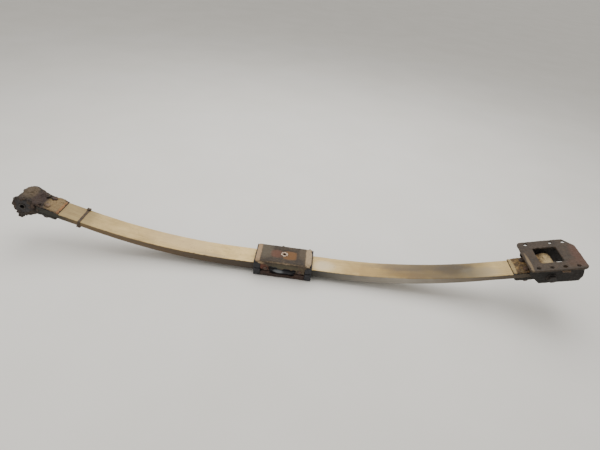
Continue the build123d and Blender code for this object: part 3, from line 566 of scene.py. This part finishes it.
def wearPiece(name, node, body, material, wear, lumps=(), bites=()):
    wear = {**wearDefaults, **wear}
    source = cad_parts[node].data
    form = bmesh.new()
    form.from_mesh(source)
    bmesh.ops.remove_doubles(form, verts=form.verts, dist=0.01 * mm)
    addBlobs(form, lumps)  # thick scale that has grown on the steel
    mesh = bpy.data.meshes.new(name)
    form.to_mesh(mesh)
    form.free()
    piece = bpy.data.objects.new(name, mesh)
    bpy.context.scene.collection.objects.link(piece)
    cutter = None
    if bites:  # places that rust has eaten away
        cutForm = bmesh.new()
        addBlobs(cutForm, bites)
        cutMesh = bpy.data.meshes.new(name + "Bites")
        cutForm.to_mesh(cutMesh)
        cutForm.free()
        cutter = bpy.data.objects.new(name + "Bites", cutMesh)
        bpy.context.scene.collection.objects.link(cutter)
        eaten = piece.modifiers.new("eaten", "BOOLEAN")
        eaten.operation = "DIFFERENCE"
        eaten.solver = "EXACT"
        eaten.use_self = True
        eaten.object = cutter
    fine = piece.modifiers.new("fine", "REMESH")
    fine.mode = "VOXEL"
    fine.voxel_size = wear["voxel"] * mm
    graph = bpy.context.evaluated_depsgraph_get()
    dense = bpy.data.meshes.new_from_object(piece.evaluated_get(graph))
    piece.modifiers.clear()
    if cutter:
        bpy.data.objects.remove(cutter)
    piece.data = dense
    dense.name = name
    form = bmesh.new()
    form.from_mesh(dense)
    for _ in range(wear["smooth"]):
        bmesh.ops.smooth_vert(form, verts=form.verts, factor=0.5, use_axis_x=True, use_axis_y=True,
                              use_axis_z=True)
    form.normal_update()
    for v in form.verts:
        here = v.co / mm
        dent = noise.noise(here / wear["dentSize"]) * wear["dent"]
        scale = noise.fractal(here / wear["scaleSize"], 0.9, 2.1, 4)
        layered = math.floor(scale * wear["layerCount"]) / wear["layerCount"]  # rust lifts in layers
        steps = wear["layers"]
        lift = dent + wear["scale"] * ((1 - steps) * scale + steps * layered)
        v.co += v.normal * (lift * mm)
        eaten = wear["eatenEdge"]
        if eaten and here.z < eaten["high"]:  # rust has eaten into this sheet's lower edge
            along = Vector((here.x / eaten["run"], here.y / eaten["across"], 3.0))
            bite = max(0.0, noise.fractal(along, 0.8, 2.2, 4) + eaten["least"])
            fade = 1 - max(0.0, here.z - eaten["low"]) / (eaten["high"] - eaten["low"])
            v.co.z += fade * bite * eaten["depth"] * mm
    form.to_mesh(dense)
    form.free()
    dense.materials.clear()
    dense.materials.append(material)
    dense.shade_smooth()
    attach(piece, body)
    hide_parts(node)


clampShell = {"voxel": 1.3, "dent": 0.6, "dentSize": 26, "scale": 0.5, "scaleSize": 9, "smooth": 1}
topShell = dict(clampShell, eatenEdge={
    "low": 22, "high": 44, "depth": 9, "run": 17, "across": 60, "least": 0.25})
padWear = {"voxel": 1.6, "dent": 0.5, "dentSize": 20, "scale": 0.25, "scaleSize": 12, "smooth": 2}
forged = {"voxel": 1.0, "dent": 1.6, "dentSize": 15, "scale": 2.3, "scaleSize": 9, "smooth": 1,
          "layers": 0.6}
crusted = {"voxel": 1.1, "dent": 0.7, "dentSize": 14, "scale": 1.2, "scaleSize": 7, "smooth": 1}
plateWear = {"voxel": 1.3, "dent": 0.5, "dentSize": 30, "scale": 0.55, "scaleSize": 10, "smooth": 1}
boltWear = {"voxel": 0.6, "dent": 0.2, "dentSize": 7, "scale": 0.35, "scaleSize": 4, "smooth": 2}
bandWear = {"voxel": 0.4, "dent": 0.3, "dentSize": 7, "scale": 0.2, "scaleSize": 3, "smooth": 1}
sealWear = {"voxel": 0.5, "dent": 0.8, "dentSize": 6, "scale": 0.5, "scaleSize": 3, "smooth": 3}
bushWear = {"voxel": 1.0, "dent": 0.6, "dentSize": 12, "scale": 0.3, "scaleSize": 6, "smooth": 3}
lowerPlateWear = dict(forged, scale=0.9, dent=0.7)

rearEye = (-800.2, 144.2)  # x and z of the eye's middle, mm
rearCrust = [  # lumps of scale: from the eye's middle, and half sizes
    ((6, -28, 26), (15, 10, 6)), ((-13, -31, 19), (13, 12, 8)), ((-23, -34, 5), (10, 9, 14)),
    ((-21, -33, -13), (11, 9, 11)), ((-7, -35, -25), (14, 8, 7)), ((10, -34, -25), (15, 9, 8)),
    ((25, -32, -21), (15, 9, 8)), ((37, -29, -14), (13, 8, 8)), ((23, -34, -5), (10, 9, 13)),
    ((-1, -36, 23), (15, 8, 7)), ((19, -35, 14), (11, 8, 11)), ((-2, 8, 27), (16, 20, 4)),
    ((26, 14, 13), (9, 20, 6)), ((-25, 8, 2), (6, 24, 10)), ((40, -26, 9), (14, 8, 4)),
    ((46, 20, 8), (12, 10, 3)), ((30, 0, -17), (13, 26, 7)), ((-15, 26, 13), (10, 10, 9)),
]
rearFlakes = {"count": 16, "stray": (-0.2, 0.2), "reach": (24, 30), "across": (-42, -37),
              "size": ((4, 7), (1.4, 2.6), (4, 7))}
rearLumps = [((rearEye[0] + x, y, rearEye[1] + z), size) for (x, y, z), size in rearCrust]
flaking = random.Random(5)
for i in range(rearFlakes["count"]):  # thin flakes lifting off the near face, around the bush
    turn = 2 * math.pi * i / rearFlakes["count"] + flaking.uniform(*rearFlakes["stray"])
    reach = flaking.uniform(*rearFlakes["reach"])
    centre = (rearEye[0] + reach * math.cos(turn), flaking.uniform(*rearFlakes["across"]),
              rearEye[1] + reach * math.sin(turn))
    rearLumps.append((centre, [flaking.uniform(*span) for span in rearFlakes["size"]]))
frontLumps = [((712, -14, 133), (6, 8, 2.5)), ((726, 10, 137), (8, 6, 2.5)), ((735, -24, 139), (7, 6, 3)),
              ((716, 26, 134), (7, 5, 2)), ((801, -10, 172), (10, 12, 3)), ((793, 12, 171), (8, 10, 3))]

chance = random.Random(11)
clampScale = {"count": 34, "run": (-80, 80), "across": (41.5, 46), "up": (48, 59),
              "size": ((1.5, 5), (1.0, 2.2), (1.2, 3))}
clampCrumbs = []  # loose scale along the top shell's long edges
for i in range(clampScale["count"]):
    hand = -1 if i % 3 else 1  # two of every three on the near edge
    centre = (chance.uniform(*clampScale["run"]), hand * chance.uniform(*clampScale["across"]),
              chance.uniform(*clampScale["up"]))
    clampCrumbs.append((centre, [chance.uniform(*span) for span in clampScale["size"]]))
topBites = [((-37, -46, 33), (10, 9, 9)), ((-24, -46, 35), (8, 9, 5)), ((14, -46, 34), (11, 9, 4)),
            ((36, -46, 30), (8, 9, 6)), ((-66, -46, 22), (7, 9, 5)), ((60, -46, 21), (9, 9, 4)),
            ((-30, 46, 34), (9, 9, 6)), ((22, 46, 35), (12, 9, 5)), ((52, 46, 22), (8, 9, 4)),
            ((88, 30, 60), (5, 9, 4)), ((88, -42, 58), (4, 6, 6)), ((-88, 44, 60), (4, 7, 5))]
bottomBites = [((-33, -46, 17), (8, 9, 5)), ((30, -46, 15), (10, 9, 7)), ((0, -46, 14), (12, 9, 3)),
               ((34, 46, 16), (9, 9, 5)), ((-20, 46, 14), (10, 9, 4)), ((-70, -46, 20), (5, 9, 5))]
padBulge = [((-5, -36.5, 21), (31, 9, 9)), ((20, -36.5, 20), (17, 8.5, 8)), ((2, 36.5, 21), (33, 8.5, 9)),
            ((-76, -40, 12), (8, 7.5, 9)), ((79, -40, 13), (9, 8, 10))]

wearPiece("clampTopShell", "clamp_top_shell", "centre", clampTopRust, topShell,
          clampCrumbs, topBites)
wearPiece("clampBottomShell", "clamp_bottom_shell", "centre", clampBottomRust, clampShell,
          bites=bottomBites)
wearPiece("clampTopPad", "clamp_top_pad", "centre", padRubber, padWear)
wearPiece("clampBottomPad", "clamp_bottom_pad", "centre", padRubber, padWear, padBulge)
wearPiece("clampRivets", "clamp_rivets", "centre", fastenerRust, boltWear)
print("clamp made")

for end, lumps, wear, rust in (("rear", rearLumps, forged, fittingRust),
                               ("front", frontLumps, crusted, frontFittingRust)):
    arm = end + "_arm"
    wearPiece(end + "EyeFitting", end + "_eye_fitting", arm, rust, wear, lumps)
    wearPiece(end + "LowerPlate", end + "_lower_plate", arm, lowerPlateRust,
              lowerPlateWear)
    for part in ("bolts", "nuts", "washers"):
        wearPiece(f"{end}Fitting{part.title()}", f"{end}_fitting_{part}", arm,
                  fastenerRust, boltWear)
    wearPiece(end + "BushRubber", end + "_bush_rubber", arm, bushRubber, bushWear)
print("end fittings made")

hangerFrame = {"slope": 15.774, "eye": (800.17, 144.20)}  # degrees; x and z of the front eye, mm


def onHanger(run, across, up):  # a place given along, across and above the hanger's own slope, from the eye
    tilt = math.radians(hangerFrame["slope"])
    x, z = hangerFrame["eye"]
    return (x + run * math.cos(tilt) - up * math.sin(tilt), across,
            z + run * math.sin(tilt) + up * math.cos(tilt))


plateScale = {"count": 46, "run": (-60, 84), "across": (36, 47), "top": 47.2, "stray": (-0.4, 0.6),
              "size": ((2, 6), (2, 6), (1.4, 2.2))}
plateCrumbs = []  # scale on the plate's long edges
for i in range(plateScale["count"]):
    run = chance.uniform(*plateScale["run"])
    across = chance.choice((-1, 1)) * chance.uniform(*plateScale["across"])
    up = plateScale["top"] + chance.uniform(*plateScale["stray"])
    plateCrumbs.append((onHanger(run, across, up), [chance.uniform(*span) for span in plateScale["size"]]))
nutCrust = [((820, -64, 187), (7, 5, 4)), ((826, -66, 189), (5, 4.5, 3.5)), ((813, -64, 185), (5, 5, 4))]
wearPiece("hangerPlate", "hanger_plate", "hanger", hangerRust, plateWear, plateCrumbs)
wearPiece("hangerChannel", "hanger_channel", "hanger", channelRust, plateWear)
wearPiece("hangerWeldNut", "hanger_weld_nut", "hanger", nutRust, boltWear, nutCrust)
wearPiece("hangerPivotBolt", "hanger_pivot_bolt", "hanger", pivotRust, boltWear)
wearPiece("hangerPivotNut", "hanger_pivot_nut", "hanger", pivotRust, boltWear)
wearPiece("hangerPivotWashers", "hanger_pivot_washers", "hanger", pivotRust, boltWear)


def layWeld(name, body, material, line, weld):  # a row of overlapping beads between two points (mm)
    start, end = Vector(line[0]), Vector(line[1])
    count = int((end - start).length / weld["pitch"])
    form = bmesh.new()
    for i in range(count + 1):
        middle = start.lerp(end, i / count)
        sway = noise.noise(middle / 6), noise.noise(middle / 5 + Vector((9, 0, 0)))
        middle += Vector((0, *sway)) * weld["stray"]
        bead = bmesh.ops.create_icosphere(form, subdivisions=2, radius=weld["radius"] * mm)["verts"]
        bmesh.ops.translate(form, vec=middle * mm, verts=bead)
    mesh = bpy.data.meshes.new(name)
    form.to_mesh(mesh)
    form.free()
    weldBead = bpy.data.objects.new(name, mesh)
    bpy.context.scene.collection.objects.link(weldBead)
    joined = weldBead.modifiers.new("joined", "REMESH")
    joined.mode = "VOXEL"
    joined.voxel_size = weld["voxel"] * mm
    solid = bpy.data.meshes.new_from_object(weldBead.evaluated_get(bpy.context.evaluated_depsgraph_get()))
    weldBead.modifiers.remove(joined)
    weldBead.data = solid
    solid.name = name
    solid.materials.clear()
    solid.materials.append(material)
    solid.shade_smooth()
    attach(weldBead, body)


hangerWeld = {"pitch": 3.6, "radius": 3.2, "stray": 0.6, "voxel": 0.9,
              "across": 49.6, "run": (-56, 84), "up": 40.5}
for hand, label in ((-1, "Near"), (1, "Far")):
    ends = [onHanger(run, hand * hangerWeld["across"], hangerWeld["up"]) for run in hangerWeld["run"]]
    layWeld(f"hangerWeld{label}", "hanger", channelRust, ends, hangerWeld)
wearPiece("bandClip", "band_clip", "rear_arm", bandRust, bandWear)
wearPiece("bandClipSeals", "band_clip_seals", "rear_arm", bandRust, sealWear)
print("hanger and band made")

# CAD pieces that stay, with their real finish
finishes = {
    "top_locating_sleeve": wornSteel, "bottom_locating_sleeve": wornSteel,
    "rear_bush_inner_sleeve": sleeveRust, "front_bush_inner_sleeve": sleeveRust,
    "rear_bush_outer_sleeve": sleeveRust, "front_bush_outer_sleeve": sleeveRust,
    "rear_tongue_pad": padRubber, "front_tongue_pad": padRubber,
}
for node, material in finishes.items():
    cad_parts[node].data.materials.clear()
    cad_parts[node].data.materials.append(material)
print("kept pieces finished")

studio = {
    "floor": "#e9e6e0", "floorShade": "#e4e1da", "floorHalf": 30.0,  # metres
    "floorDrop": 0.6,  # mm below the clamp's seat
    "world": "#f2f0ec", "worldStrength": 0.72,
}

floorForm = bmesh.new()
bmesh.ops.create_grid(floorForm, x_segments=1, y_segments=1, size=studio["floorHalf"])
bmesh.ops.translate(floorForm, vec=(0, 0, -studio["floorDrop"] * mm), verts=floorForm.verts)
floorMesh = bpy.data.meshes.new("studioFloor")
floorForm.to_mesh(floorMesh)
floorForm.free()
floor = bpy.data.objects.new("studioFloor", floorMesh)
bpy.context.scene.collection.objects.link(floor)
floorPaint, floorTree, floorShader = newMaterial("paleFloorPaint")
floorGrain = addNode(floorTree, "ShaderNodeTexNoise", {
    "Vector": addNode(floorTree, "ShaderNodeTexCoord").outputs["Object"], "Scale": 3.0, "Detail": 4.0})
floorTone = addNode(floorTree, "ShaderNodeValToRGB", {0: floorGrain.outputs[0]},
                    stops=[(0.3, studio["floorShade"]), (0.7, studio["floor"])])
floorTree.links.new(floorTone.outputs[0], floorShader.inputs["Base Color"])
floorShader.inputs["Roughness"].default_value = 0.8
floorMesh.materials.append(floorPaint)

sky = bpy.data.worlds.new("studioSky")
sky.use_nodes = True
sky.node_tree.nodes["Background"].inputs[0].default_value = tint(studio["world"])
sky.node_tree.nodes["Background"].inputs[1].default_value = studio["worldStrength"]
bpy.context.scene.world = sky

lamps = {  # place, turn in degrees, size in metres, watts
    "overheadSoftbox": ((0.1, 0.7, 1.9), (-20, 0, 0), 2.4, 46),
    "sideSoftbox": ((-1.7, -0.7, 1.3), (55, 0, -65), 1.2, 8),
}
for name, (place, turn, size, watts) in lamps.items():
    lamp = bpy.data.lights.new(name, "AREA")
    lamp.energy = watts
    lamp.size = size
    lampObject = bpy.data.objects.new(name, lamp)
    lampObject.location = place
    lampObject.rotation_euler = [math.radians(a) for a in turn]
    bpy.context.scene.collection.objects.link(lampObject)

view = {"place": (0.04356, -1.08532, 0.92666), "turn": (55.2746, -6.0197, 4.5110), "lens": 26.04}
lensData = bpy.data.cameras.new("camera")
lensData.lens = view["lens"]
lensData.sensor_width = 36.0
camera = bpy.data.objects.new("camera", lensData)
camera.location = view["place"]
camera.rotation_euler = [math.radians(a) for a in view["turn"]]
bpy.context.scene.collection.objects.link(camera)
bpy.context.scene.camera = camera
print("studio set")
